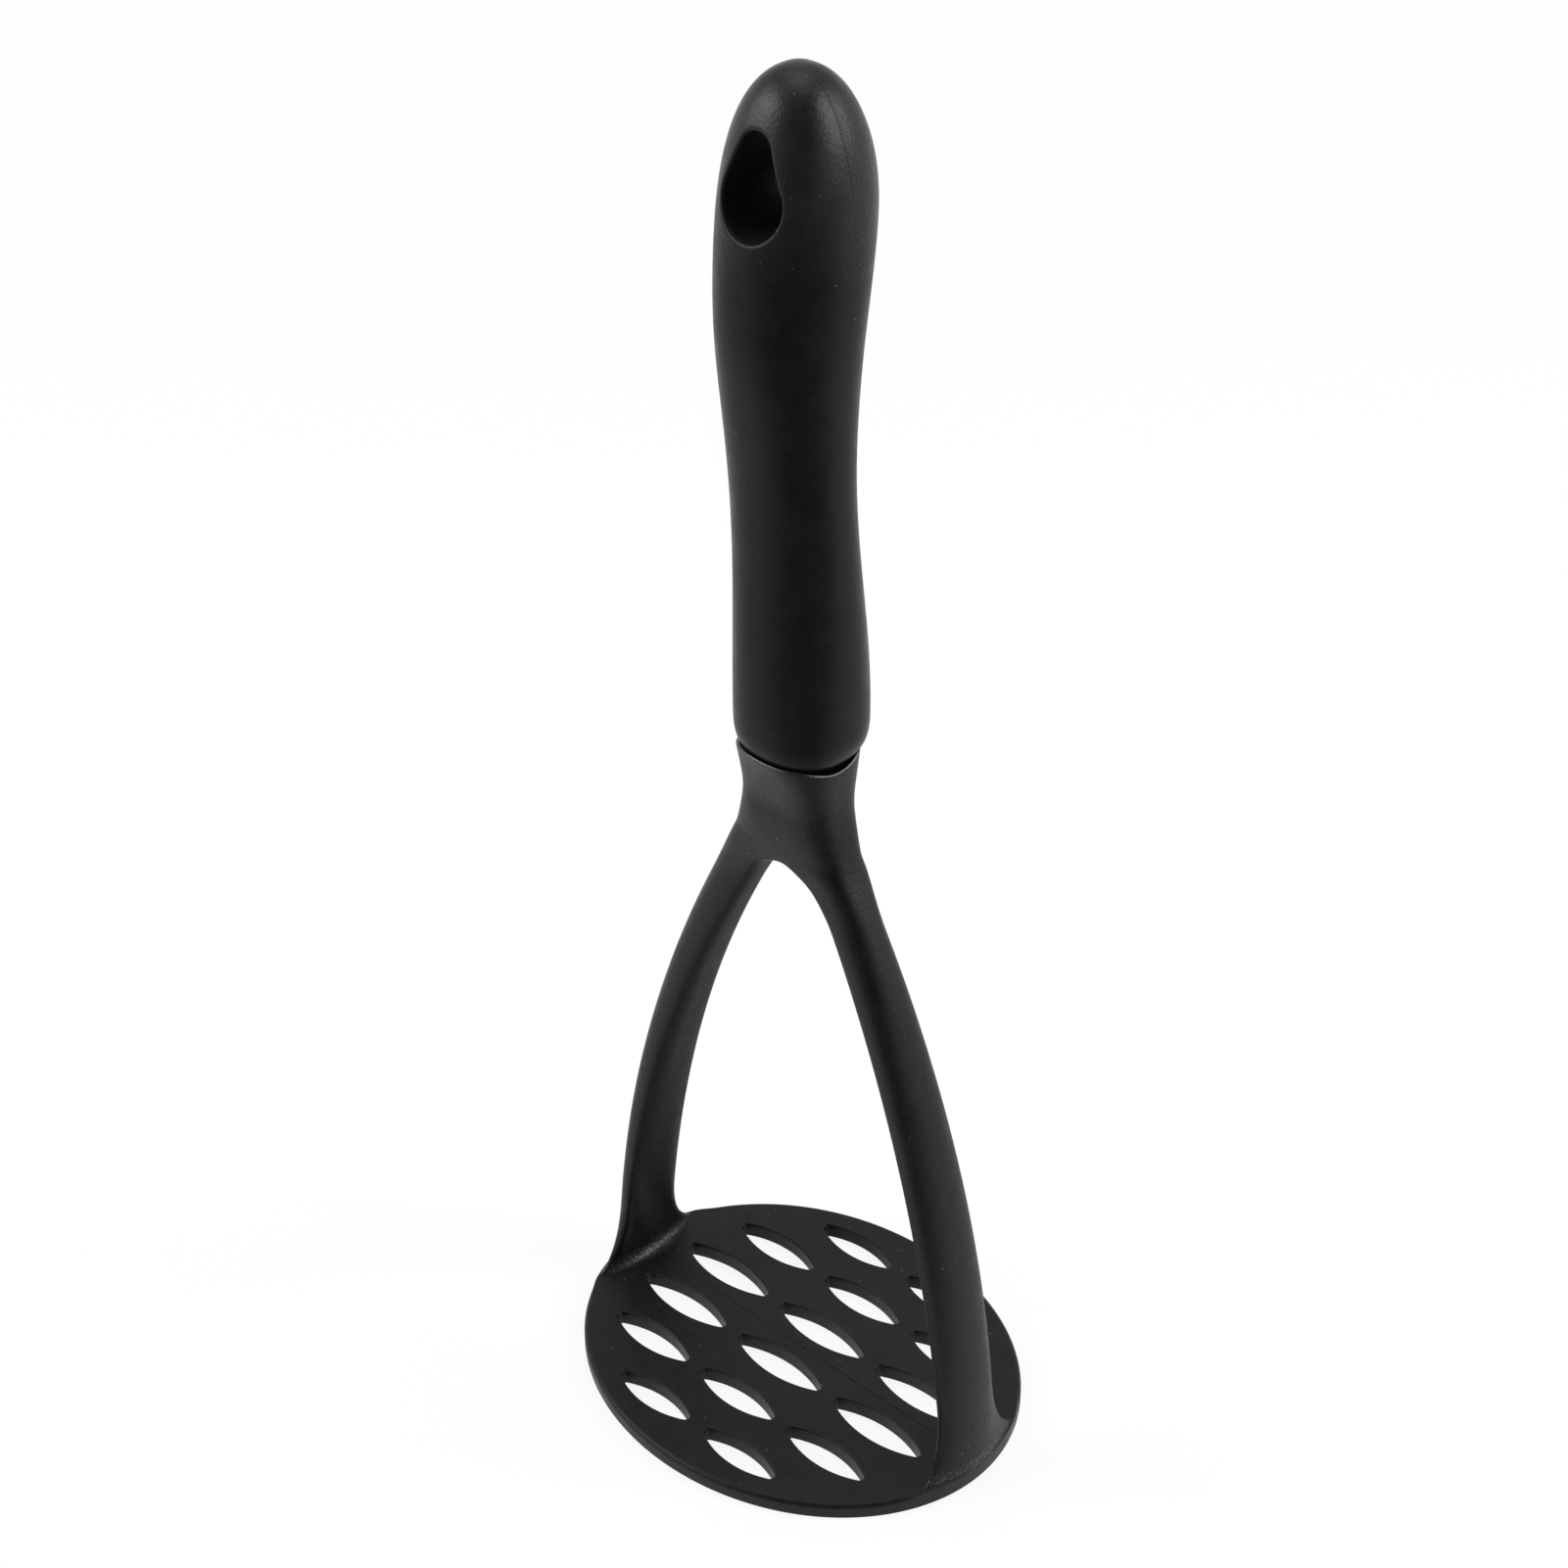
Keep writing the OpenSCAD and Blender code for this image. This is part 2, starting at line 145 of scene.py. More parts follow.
head = {"shoulderZ": 108, "shoulderSpan": 37.2, "shoulderGap": 19.6, "footGap": 80.4,
        "outerBow": 285, "innerBow": 264, "legWidth": 13.4, "shoulderWidth": 8.6,
        "footWidth": 27, "footSpread": 14.5, "footFillet": 2.7, "footSink": 0.6,
        "crownRadius": 8.1, "crownDepth": 4.4, "neckWidth": 19.2, "neckDepth": 11.8,
        "collarWidth": 20, "collarDepth": 19.2, "collarZ": 139.4, "flareStart": 129, "flarePower": 1.6,
        "rimRise": 2, "rimWall": 0.4, "legFullness": 2.6, "footFullness": 2.3, "collarFullness": 2.5,
        "middleFullness": 3.6, "fullnessRun": 13, "legTaper": 2.3, "legBlend": 4.6,
        "handleGap": 0.14, "lipShare": 0.8, "widestLip": 1.2,
        "relaxBands": ((100, 104, 0.4), (104, 124, 1.0), (124, 128, 0.4)), "relaxRounds": 10}

grip = {"bottom": 139.2, "length": 119.9, "foot": (22, 21), "waist": (20.8, 17.2),
        "swell": (23.4, 23.2), "waistH": 48.3, "swellH": 94.3, "footRound": 8.4, "domeRatio": 1.107,
        "footOffset": 0.85, "palmOffset": 1.7, "swellOffset": 0.7,
        "fullness": 2.4, "endFullness": 3.3, "topFullness": 2.2,
        "holeWidth": 11.8, "holeH": 101.3, "holeTop": 3, "holeRise": 7.4, "holeLip": 0.8,
        "tang": (12, 9, 55), "fit": 0.15}

# ---------- mashing plate ----------


def plateRing(z, lower, upper, count=360):
    # ellipse drawn in by lower all round and by upper where it is clear of the feet
    a = np.arange(count) / count * tau
    edge = np.abs(plate["width"] / 2 * np.sin(a)) - head["footWidth"] / 2
    inset = lower + upper * ease(edge / plate["footMerge"])
    return np.stack([(plate["length"] / 2 - inset) * np.cos(a),
                     (plate["width"] / 2 - inset) * np.sin(a), np.full(count, z)], -1)


def slotRing(row, z, grow, tipSteps=14, sideSteps=30):
    # two side arcs joined by tip arcs, every radius enlarged by grow
    tip, length, width = plate["tipRadius"], plate["slotLength"][row], plate["slotWidth"][row]
    tipX = length / 2 - tip
    side = (tipX ** 2 + (width / 2) ** 2 - tip ** 2) / (width - 2 * tip)
    drop = side - width / 2
    reach = np.arctan2(tipX, drop)
    tipA = mix(reach - np.pi / 2, np.pi / 2 - reach, np.arange(tipSteps) / tipSteps)
    sideA = mix(np.pi / 2 - reach, np.pi / 2 + reach, np.arange(sideSteps) / sideSteps)
    x = np.concatenate([tipX + (tip + grow) * np.cos(tipA), (side + grow) * np.cos(sideA)])
    y = np.concatenate([(tip + grow) * np.sin(tipA), (side + grow) * np.sin(sideA) - drop])
    return np.stack([np.append(x, -x), np.append(y, -y), np.full(2 * len(x), z)], -1)


def slotCutter(row):
    # prism of the slot's outline whose ends flare along a quarter circle to round the slot's edges
    thick, edge = plate["thick"], plate["slotEdge"]
    turn = np.radians([0, 22, 44, 62, 76])
    rise = np.append(thick - edge + edge * np.sin(turn), thick + 0.05)
    grow = np.append(edge * (1 - np.cos(turn)), edge * (1 - np.cos(turn[-1])) + 0.25)
    heights = np.concatenate([thick - rise[::-1], rise])
    return np.stack([slotRing(row, z, g) for z, g in zip(heights, np.append(grow[::-1], grow))])


def makePlate(name):
    low, high = plate["lowerRound"], plate["upperRound"]
    turnLow = np.linspace(0, np.pi / 2, 6)
    turnHigh = np.linspace(0, np.pi / 2, 10)
    rings = [plateRing(low * (1 - np.cos(a)), low * (1 - np.sin(a)), 0) for a in turnLow]
    rings += [plateRing(plate["thick"] - high * (1 - np.sin(a)), 0, high * (1 - np.cos(a)))
              for a in turnHigh]
    rings = np.stack(rings)
    index = np.arange(rings.shape[0] * rings.shape[1]).reshape(rings.shape[:2])
    points = np.concatenate([rings.reshape(-1, 3), [[0, 0, 0], [0, 0, plate["thick"]]]])
    quads = np.concatenate([gridQuads(index, True), fan(index[0][::-1], len(points) - 2),
                            fan(index[-1], len(points) - 1)])
    body = makePiece(name, points, quads)
    cutPoints, cutQuads, start = [], [], 0
    for row, count in enumerate(plate["count"]):
        shape = slotCutter(row)
        grid = np.arange(shape.shape[0] * shape.shape[1]).reshape(shape.shape[:2])
        for i in range(count):
            for side in (-1, 1):
                place = ((i - (count - 1) / 2) * plate["pitch"][row], side * plate["rowY"][row], 0)
                moved = shape + place
                middle = moved.mean(1)[[0, -1]]
                cutPoints += [moved.reshape(-1, 3), middle]
                last = start + grid.size
                cutQuads += [gridQuads(grid + start, True), fan(grid[0][::-1] + start, last),
                             fan(grid[-1] + start, last + 1)]
                start = last + 2
    cutter = makePiece("slotCutters", np.concatenate(cutPoints), np.concatenate(cutQuads))
    cut = body.modifiers.new("slots", "BOOLEAN")
    cut.operation, cut.solver, cut.object = "DIFFERENCE", "EXACT", cutter
    settle(body)
    bpy.data.objects.remove(cutter)
    body.data.shade_smooth()
    body.data.set_sharp_from_angle(angle=np.radians(34))
    weighted = body.modifiers.new("evenShading", "WEIGHTED_NORMAL")
    weighted.keep_sharp = True
    return body


# ---------- legs and neck ----------


def bowCentre(low, high, r):
    # centre of the circle of radius r through two points, on the masher's side of them
    half = (np.array(high) - low) / 2
    size = np.hypot(*half)
    return (np.array(low) + high) / 2 + np.sqrt(r ** 2 - size ** 2) / size * np.array([-half[1], half[0]])


outerCentre = bowCentre((plate["length"] / 2, plate["thick"]),
                        (head["shoulderSpan"] / 2, head["shoulderZ"]), head["outerBow"])
innerCentre = bowCentre((head["footGap"] / 2, plate["thick"]),
                        (head["shoulderGap"] / 2, head["shoulderZ"]), head["innerBow"])
rimTop = head["collarZ"] + head["rimRise"]


def bowX(z, centre, r):
    return centre[0] + np.sqrt(r ** 2 - (z - centre[1]) ** 2)


def legRise(z):
    return np.maximum(0, (z - plate["thick"]) / (head["shoulderZ"] - plate["thick"]))


def legHalfWidth(z):
    spread = fillet((z - plate["thick"]) / head["footSpread"])
    return mix(head["legWidth"], head["shoulderWidth"], legRise(z) ** head["legTaper"]) / 2 \
        + (head["footWidth"] - head["legWidth"]) / 2 * spread


def collarFlare(z):
    return (np.maximum(0, z - head["flareStart"]) / (rimTop - head["flareStart"])) ** head["flarePower"]


def neckHalfWidth(z):
    return softMax(bowX(z, outerCentre, head["outerBow"]),
                   mix(head["neckWidth"], head["collarWidth"], collarFlare(z)) / 2, head["legBlend"])


def neckHalfDepth(z):
    # the leg's own depth, which swells to the neck's and flares to the collar's
    return mix(legHalfWidth(z), mix(head["neckDepth"], head["collarDepth"], collarFlare(z)) / 2,
               ease((z - head["shoulderZ"]) / (head["flareStart"] - head["shoulderZ"])))


def neckFullness(z):
    # boxy in the middle, rounder at the legs and at the collar
    boxy = ease((z - head["shoulderZ"]) / head["fullnessRun"])
    return mix(mix(head["legFullness"], head["middleFullness"], boxy),
               head["collarFullness"], np.minimum(collarFlare(z), 1))


def legRings(angles, heights):
    # level superellipse sections between the outer and inner bows; near the plate the outer face
    # follows the rim's ellipse and the section thins out sideways like a cosine
    a, z = np.meshgrid(angles, heights)
    spread = fillet((z - plate["thick"]) / head["footSpread"])
    rise, halfW = legRise(z), legHalfWidth(z)
    outer = bowX(z, outerCentre, head["outerBow"])
    inner = bowX(z, innerCentre, head["innerBow"]) \
        - head["footFillet"] * fillet((z - plate["thick"]) / head["footFillet"])
    thick = outer - inner
    n = mix(head["footFullness"], head["legFullness"], ease(2 * rise))
    y = halfW * full(np.sin(a), n)
    body = mix(np.abs(np.cos(a)) ** (2 / n), np.cos(np.pi / 2 * y / halfW), spread)
    fall = plate["length"] / 2 * (1 - np.sqrt(1 - (2 * y / plate["width"]) ** 2))
    face = outer - fall * (1 - rise) - (1 - spread) / 2 * thick * (1 - body)
    x = np.where(np.cos(a) > 0, face, face - thick * body)
    return np.stack([x, y, z], -1)


def crownRings(angles, steps):
    # the leg's section turns to follow the arch: its inner point runs up the inner bow and round the
    # crown's circle to the middle, its outer point climbs the neck's side, and its widest points
    # slide to the middle of the neck's front and back
    t = np.arange(1, steps + 1) / steps
    r, bow = head["crownRadius"], head["innerBow"]
    crownZ = innerCentre[1] + np.sqrt((bow - r) ** 2 - innerCentre[0] ** 2)
    touch = np.arctan2(crownZ - innerCentre[1], -innerCentre[0])
    start = np.arcsin((head["shoulderZ"] - innerCentre[1]) / bow)
    bowRun, crownRun = (touch - start) * bow, (np.pi / 2 - touch) * r
    run = t * (bowRun + crownRun)
    onBow = run < bowRun
    bowA = start + run / bow
    crownA = touch + (run - bowRun) / r
    inX = np.where(onBow, innerCentre[0] + bow * np.cos(bowA), r * np.cos(crownA))
    inZ = np.where(onBow, innerCentre[1] + bow * np.sin(bowA), crownZ + r * np.sin(crownA))
    inX[-1] = 0
    neckStart = crownZ + r + head["crownDepth"]
    outZ = mix(head["shoulderZ"], neckStart, np.sin(np.pi / 2 * t))
    outX = neckHalfWidth(outZ)
    midX = mix(inX, outX, 0.5 * (1 - ease(t))) * (1 - ease(2.2 * t - 1.2))
    midZ = mix(inZ, outZ, 0.5 + 0.5 * ease(t))
    a = angles[None, :]
    outside = np.cos(a) >= 0
    z = midZ[:, None] + np.where(outside, (outZ - midZ)[:, None], (inZ - midZ)[:, None]) \
        * np.abs(np.cos(a)) ** (2 / neckFullness(midZ)[:, None])
    x = midX[:, None] + np.where(outside, (outX - midX)[:, None], (inX - midX)[:, None]) \
        * np.abs(np.cos(a)) ** (2 / neckFullness(z))
    y = neckHalfDepth(z) * full(np.sin(a), neckFullness(z))
    return np.stack([x, y, z], -1), neckStart


def neckSection(a, z):
    n = neckFullness(z)
    return np.stack([neckHalfWidth(z) * full(np.cos(a), n),
                     neckHalfDepth(z) * full(np.sin(a), n), z + 0 * a], -1)


def gripRoom(p):
    # how far a point lies outside the handle's section at its height
    halfW, halfD = (gripHalf(p[..., 2], k) + grip["fit"] for k in (0, 1))
    y = p[..., 1] - gripCentre(p[..., 2])
    n = grip["fullness"]
    scale = ((np.abs(p[..., 0]) / halfW) ** n + (np.abs(y) / halfD) ** n) ** (1 / n)
    return (1 - 1 / scale) * np.hypot(p[..., 0], y)


def rimHeights(a):
    # the collar's rim follows a saddle, and stops lower where the handle swells over it
    z = np.full_like(a, head["collarZ"])
    for _ in range(6):
        y = neckSection(a, z)[..., 1]
        z = head["collarZ"] + head["rimRise"] * ease(np.abs(y) / (head["collarDepth"] / 2))
    tries = np.linspace(grip["bottom"] + 0.1, rimTop + 0.5, 120)
    room = gripRoom(neckSection(a[:, None], tries[None, :]))
    blocked = np.where(room < head["handleGap"], tries[None, :], rimTop + 1).min(1)
    return np.minimum(z, blocked) + 0 * a


def collarRows(a, neckStart):
    # up the outside, over the rim's rounded lip and down inside to the seat for the handle; the rim
    # thickens up to the handle at the front and the back and leaves a gap at the sides
    top = rimHeights(a)
    room = np.maximum(gripRoom(neckSection(a, top)), head["handleGap"])
    wall = mix(np.minimum(head["rimWall"], room), room, ease((np.abs(np.sin(a)) - 0.3) / 0.5))
    lip = np.minimum(head["lipShare"] * wall, head["widestLip"])
    share = np.linspace(0, 1, 34)[1:]
    outside = neckSection(a[None, :], mix(neckStart, (top - lip)[None, :], share[:, None]))
    turn = np.radians([18, 36, 54, 72, 90])
    overOut = [neckSection(a, top - lip * (1 - np.sin(b))) for b in turn]
    rows = list(outside)
    for b, p in zip(turn, overOut):
        rows.append(shrink(p, lip * (1 - np.cos(b))))
    rows.append(shrink(neckSection(a, top), mix(lip, wall, 0.6)))
    rows.append(shrink(neckSection(a, top - 0.1), wall))
    seat = grip["bottom"] - grip["fit"]
    for t in (0.2, 0.5, 0.8, 1.0):
        z = mix(top - 0.1, seat + 0.15, t)
        rows.append(shrink(neckSection(a, z), mix(wall, head["rimWall"], t)))
    rows.append(shrink(neckSection(a, seat + 0.08 + 0 * a), head["rimWall"] + 0.1))
    floor = neckSection(a, seat + 0 * a)
    for t in (0.94, 0.75, 0.5, 0.25, 0.0):
        rows.append(floor * (t, t, 1))
    return np.stack(rows)


def shrink(p, inset):
    # moves points inward, square to the collar's middle line
    size = np.hypot(p[..., 0], p[..., 1])
    k = 1 - np.where(size > 0, inset / np.maximum(size, 1e-9), 0)
    return np.stack([p[..., 0] * k, p[..., 1] * k, p[..., 2]], -1)


def makeHeadFrame(name, columns=96, legStep=1.6, crownSteps=24):
    angles = -np.pi / 2 + np.arange(columns) / columns * tau
    base = plate["thick"]
    foot = base + head["footSpread"] * np.linspace(0, 1, 26) ** 1.7
    shaft = np.arange(base + head["footSpread"], head["shoulderZ"], legStep)[1:]
    heights = np.concatenate([foot, shaft, [head["shoulderZ"]]])
    legs = legRings(angles, heights)
    sunk = legs[:1] * (1, 1, 0) + (0, 0, base - head["footSink"])
    middle = legs[0].mean(0) * (1, 0, 0)
    sunk = middle + (sunk - middle) * (0.997, 0.997, 1)
    crown, neckStart = crownRings(angles, crownSteps)
    lower = np.concatenate([sunk, legs, crown])
    half = columns // 2 + 1
    upper = collarRows(angles[:half], neckStart)
    lowerIndex = np.arange(lower.shape[0] * columns).reshape(-1, columns)
    upperIndex = lower.shape[0] * columns + np.arange(upper.shape[0] * half).reshape(-1, half)
    points = np.concatenate([lower.reshape(-1, 3), upper.reshape(-1, 3), [sunk[0].mean(0)]])
    quads = np.concatenate([
        gridQuads(lowerIndex, True), gridQuads(np.vstack([lowerIndex[-1:, :half], upperIndex]), False),
        fan(lowerIndex[0][::-1], len(points) - 1)])
    mirrored = points * (-1, 1, 1)
    return makePiece(name, np.concatenate([points, mirrored]),
                     np.concatenate([quads, quads[:, ::-1] + len(points)]), 1e-3)


# ---------- handle ----------


def gripSpan(h, k):
    foot, waist, swell = grip["foot"][k], grip["waist"][k], grip["swell"][k]
    lower = mix(foot, waist, ease((h - grip["footRound"]) / (grip["waistH"] - grip["footRound"])))
    upper = mix(waist, swell, ease((h - grip["waistH"]) / (grip["swellH"] - grip["waistH"])))
    return np.where(h < grip["waistH"], lower, upper)


def gripShare(h):
    # 1 along the handle; at each end it falls like a superellipse's quarter
    below = np.clip((grip["footRound"] - h) / (grip["footRound"] * grip["domeRatio"]), 0, 1)
    above = np.clip((h - grip["swellH"]) / (grip["length"] - grip["swellH"]), 0, 1)
    return (1 - below ** grip["endFullness"]) ** (1 / grip["endFullness"]) \
        * (1 - above ** grip["topFullness"]) ** (1 / grip["topFullness"])


def gripHalf(z, k):
    h = z - grip["bottom"]
    return gripShare(h) * gripSpan(h, k) / 2


def gripCentre(z):
    # leans to the back above the collar, to the front in the palm and to the back at the swell
    h = z - grip["bottom"]
    palm = (grip["waistH"] + grip["swellH"]) / 2
    lower = mix(grip["footOffset"], -grip["palmOffset"],
                ease((h - grip["footRound"]) / (palm - grip["footRound"])))
    upper = mix(-grip["palmOffset"], grip["swellOffset"], ease((h - palm) / (grip["swellH"] + 15 - palm)))
    return np.where(h < palm, lower, upper)


def gripFace(x, z, side):
    # y of the front (-1) or back (1) surface at x and z
    ratio = np.clip(np.abs(x) / np.maximum(gripHalf(z, 0), 1e-6), 0, 1)
    n = grip["fullness"]
    return gripCentre(z) + side * gripHalf(z, 1) * (1 - ratio ** n) ** (1 / n)


def polarReach(outlineX, outlineY, bearing):
    # distance from the origin to a closed outline along each bearing
    known = np.arctan2(outlineY, outlineX)
    order = np.argsort(known)
    return np.interp(bearing, known[order], np.hypot(outlineX, outlineY)[order], period=tau)


def holeOutline(bearing, grow):
    # two rounds joined by their tangents, seen from a point between them
    low, high, rise = grip["holeWidth"] / 2 + grow, grip["holeTop"] + grow, grip["holeRise"]
    tilt = np.arcsin((low - high) / rise)
    count = 400
    a = np.linspace(0, 1, count)
    lowA = mix(np.pi - tilt, tau + tilt, a)
    highA = mix(tilt, np.pi - tilt, a)
    x = np.concatenate([low * np.cos(lowA), high * np.cos(highA)])
    z = np.concatenate([low * np.sin(lowA), rise + high * np.sin(highA)]) - rise / 3
    ends = np.linspace(0, 1, 60)[1:-1]
    for i, j in ((2 * count - 1, 0), (count - 1, count)):
        x, z = np.append(x, mix(x[i], x[j], ends)), np.append(z, mix(z[i], z[j], ends))
    return polarReach(x, z, bearing)


def boxOutline(bearing, halfW, halfD, corner):
    a = np.linspace(0, tau, 720, endpoint=False)
    x = np.sign(np.cos(a)) * (halfW - corner) + corner * np.cos(a)
    y = np.sign(np.sin(a)) * (halfD - corner) + corner * np.sin(a)
    k = np.linspace(-1, 1, 200)
    flatX, flatY = k * (halfW - corner), k * (halfD - corner)
    x = np.concatenate([x, flatX, flatX, 0 * k + halfW, 0 * k - halfW])
    y = np.concatenate([y, 0 * k + halfD, 0 * k - halfD, flatY, flatY])
    return polarReach(x, y, bearing)


def makeGrip(name, columns=144, rowStep=1.15):
    bottom, top = grip["bottom"], grip["bottom"] + grip["length"]
    swellZ = bottom + grip["swellH"]
    angles = -np.pi / 2 + np.arange(columns) / columns * tau
    endRows = bottom + grip["footRound"] * np.linspace(0, 1, 13)[:-1]
    shaft = np.linspace(bottom + grip["footRound"], swellZ,
                        round((grip["swellH"] - grip["footRound"]) / rowStep))
    dome = mix(swellZ, top, np.sin(np.pi / 2 * np.linspace(0, 1, 42)[1:-1]))
    heights = np.concatenate([endRows, shaft, dome])
    a, z = np.meshgrid(angles, heights)
    n = grip["fullness"]
    side = np.stack([gripHalf(z, 0) * full(np.cos(a), n),
                     gripCentre(z) + gripHalf(z, 1) * full(np.sin(a), n), z], -1)
    index = np.arange(z.size).reshape(z.shape)
    points, count = [side.reshape(-1, 3)], z.size

    def add(more):
        nonlocal count
        points.append(more.reshape(-1, 3))
        count += more.size // 3
        return np.arange(count - more.size // 3, count).reshape(more.shape[:-1])

    # a window in the grid at the front and the back, filled by rings that close on the hole
    middleZ = bottom + grip["holeH"] + grip["holeRise"] / 3
    lowRow, highRow = np.searchsorted(heights, (middleZ - 11.2, middleZ + 10.4))
    span = round(columns * 50 / 360)
    cells = gridQuads(index, True).reshape(len(heights) - 1, columns, 4)
    keep = np.ones(cells.shape[:2], bool)
    loops = {}
    for face, middle in ((-1, 0), (1, columns // 2)):
        cols = (middle + np.arange(-span, span + 1)) % columns
        keep[lowRow:highRow, cols[:-1]] = False
        loops[face] = np.concatenate([index[lowRow, cols[:-1]], index[lowRow:highRow, cols[-1]],
                                      index[highRow, cols[:0:-1]], index[highRow:lowRow:-1, cols[0]]])
    quads = [cells[keep]]
    lip = grip["holeLip"]
    inner = {}
    for face, loop in loops.items():
        edge = side.reshape(-1, 3)[loop]
        dx, dz = edge[:, 0], edge[:, 2] - middleZ
        bearing = np.arctan2(dz, dx)
        reach = np.hypot(dx, dz)
        mouth = holeOutline(bearing, lip)
        previous = loop
        for s in np.linspace(0, 1, 9)[1:]:
            r = mix(reach, mouth, s ** 0.8)
            x, zz = r * np.cos(bearing), middleZ + r * np.sin(bearing)
            ring = add(np.stack([x, gripFace(x, zz, face), zz], -1))
            quads.append(gridQuads(np.stack([previous, ring]), True))
            previous = ring
        for turn in np.radians([72, 54, 36, 18, 0]):
            r = holeOutline(bearing, lip * (1 - np.cos(turn)))
            x, zz = r * np.cos(bearing), middleZ + r * np.sin(bearing)
            y = gripFace(x, zz, face) - face * lip * (1 - np.sin(turn))
            ring = add(np.stack([x, y, zz], -1))
            quads.append(gridQuads(np.stack([previous, ring]), True))
            previous = ring
        inner[face] = (previous, bearing)
    # the passage between the two mouths: the back ring runs the other way, so it is matched by bearing
    front, back = inner[-1][0], inner[1][0][::-1]
    allPoints = np.concatenate(points)
    firstX, firstZ = allPoints[front[0]][[0, 2]]
    shift = np.argmin(np.hypot(allPoints[back][:, 0] - firstX, allPoints[back][:, 2] - firstZ))
    back = np.roll(back, -shift)
    previous = front
    for s in np.linspace(0, 1, 10)[1:-1]:
        ring = add(mix(allPoints[front], allPoints[back], s))
        quads.append(gridQuads(np.stack([previous, ring]), True))
        previous = ring
    quads.append(gridQuads(np.stack([previous, back]), True))
    # the pole of the dome
    pole = add(np.array([[0, float(gripCentre(top)), top]]))[0]
    quads.append(fan(index[-1], pole))
    # the flat end and the blind socket for the tang
    tangW, tangD, tangL = grip["tang"]
    fit = grip["fit"]
    edge = side[0]
    bearing = np.arctan2(edge[:, 1], edge[:, 0])
    reach = np.hypot(edge[:, 0], edge[:, 1])
    mouth = boxOutline(bearing, tangW / 2 + fit, tangD / 2 + fit, 1 + fit)
    previous = index[0][::-1]
    rows = [(mix(reach, mouth, s), bottom) for s in (0.5, 1)]
    rows += [(mouth, bottom + (tangL + fit) * s) for s in (0.25, 0.5, 0.75, 1)]
    rows.append((mouth * 0.5, bottom + tangL + fit))
    for r, zz in rows:
        ring = add(np.stack([r * np.cos(bearing), r * np.sin(bearing), zz + 0 * r], -1))[::-1]
        quads.append(gridQuads(np.stack([previous, ring])[::-1][:, ::-1], True))
        previous = ring
    roof = add(np.array([[0, 0, bottom + tangL + fit]]))[0]
    quads.append(fan(previous, roof))
    piece = makePiece(name, np.concatenate(points), np.concatenate(quads), 1e-3)
    piece.data.set_sharp_from_angle(angle=np.radians(50))
    return piece


# ---------- materials ----------


def socket(group, name, kind, way, value=None):
    made = group.interface.new_socket(name=name, in_out=way, socket_type="NodeSocket" + kind)
    if value is not None:
        made.default_value = value


def node(tree, kind, values=None, **settings):
    # adds a node, sets its properties, then its inputs by name or number; a socket is linked
    made = tree.nodes.new("ShaderNode" + kind)
    for key, value in settings.items():
        setattr(made, key, value)
    for key, value in (values or {}).items():
        target = made.inputs[key]
        if isinstance(value, bpy.types.NodeSocket):
            tree.links.new(value, target)
        else:
            target.default_value = value
    return made


def newGroup(name, inputs, outputs):
    group = bpy.data.node_groups.new(name, "ShaderNodeTree")
    for label, kind, value in inputs:
        socket(group, label, kind, "INPUT", value)
    for label, kind in outputs:
        socket(group, label, kind, "OUTPUT")
    return group, group.nodes.new("NodeGroupInput").outputs, group.nodes.new("NodeGroupOutput").inputs


def math(tree, operation, a, b=0.0, clamp=False):
    return node(tree, "Math", {0: a, 1: b}, operation=operation, use_clamp=clamp).outputs[0]


def ramp(tree, value, low, high, outLow=0.0, outHigh=1.0):
    limits = {"Value": value, "From Min": low, "From Max": high, "To Min": outLow, "To Max": outHigh}
    return node(tree, "MapRange", limits, interpolation_type="SMOOTHSTEP").outputs[0]


def mouldedGrain():
    # fine pebbled skin of moulded plastic: two noises and small raised cells
    group, given, out = newGroup("mouldedGrain", [
        ("Vector", "Vector", None), ("Scale", "Float", 2600.0), ("Mottle Scale", "Float", 220.0)],
        [("Height", "Float"), ("Mottle", "Float")])
    fine = node(group, "TexNoise", {"Vector": given["Vector"], "Scale": given["Scale"], "Detail": 3.0,
                                    "Roughness": 0.6}).outputs["Fac"]
    cellScale = math(group, "MULTIPLY", given["Scale"], 0.45)
    cells = node(group, "TexVoronoi", {"Vector": given["Vector"], "Scale": cellScale},
                 feature="SMOOTH_F1").outputs["Distance"]
    group.links.new(math(group, "ADD", fine, math(group, "MULTIPLY", cells, 0.5)), out["Height"])
    mottle = node(group, "TexNoise", {"Vector": given["Vector"], "Scale": given["Mottle Scale"],
                                      "Detail": 5.0, "Roughness": 0.65}).outputs["Fac"]
    group.links.new(ramp(group, mottle, 0.3, 0.7), out["Mottle"])
    return group


def dustSpecks():
    # scattered small specks: the middles of a few sparse cells
    group, given, out = newGroup("dustSpecks", [
        ("Vector", "Vector", None), ("Scale", "Float", 500.0), ("Amount", "Float", 0.35),
        ("Size", "Float", 0.075)],
        [("Mask", "Float")])
    cells = node(group, "TexVoronoi", {"Vector": given["Vector"], "Scale": given["Scale"],
                                       "Randomness": 1.0})
    chosen = node(group, "SeparateColor", {"Color": cells.outputs["Color"]}).outputs["Red"]
    near = ramp(group, math(group, "DIVIDE", cells.outputs["Distance"], given["Size"]), 1.0, 0.5)
    few = math(group, "LESS_THAN", chosen, given["Amount"])
    group.links.new(math(group, "MULTIPLY", near, few), out["Mask"])
    return group


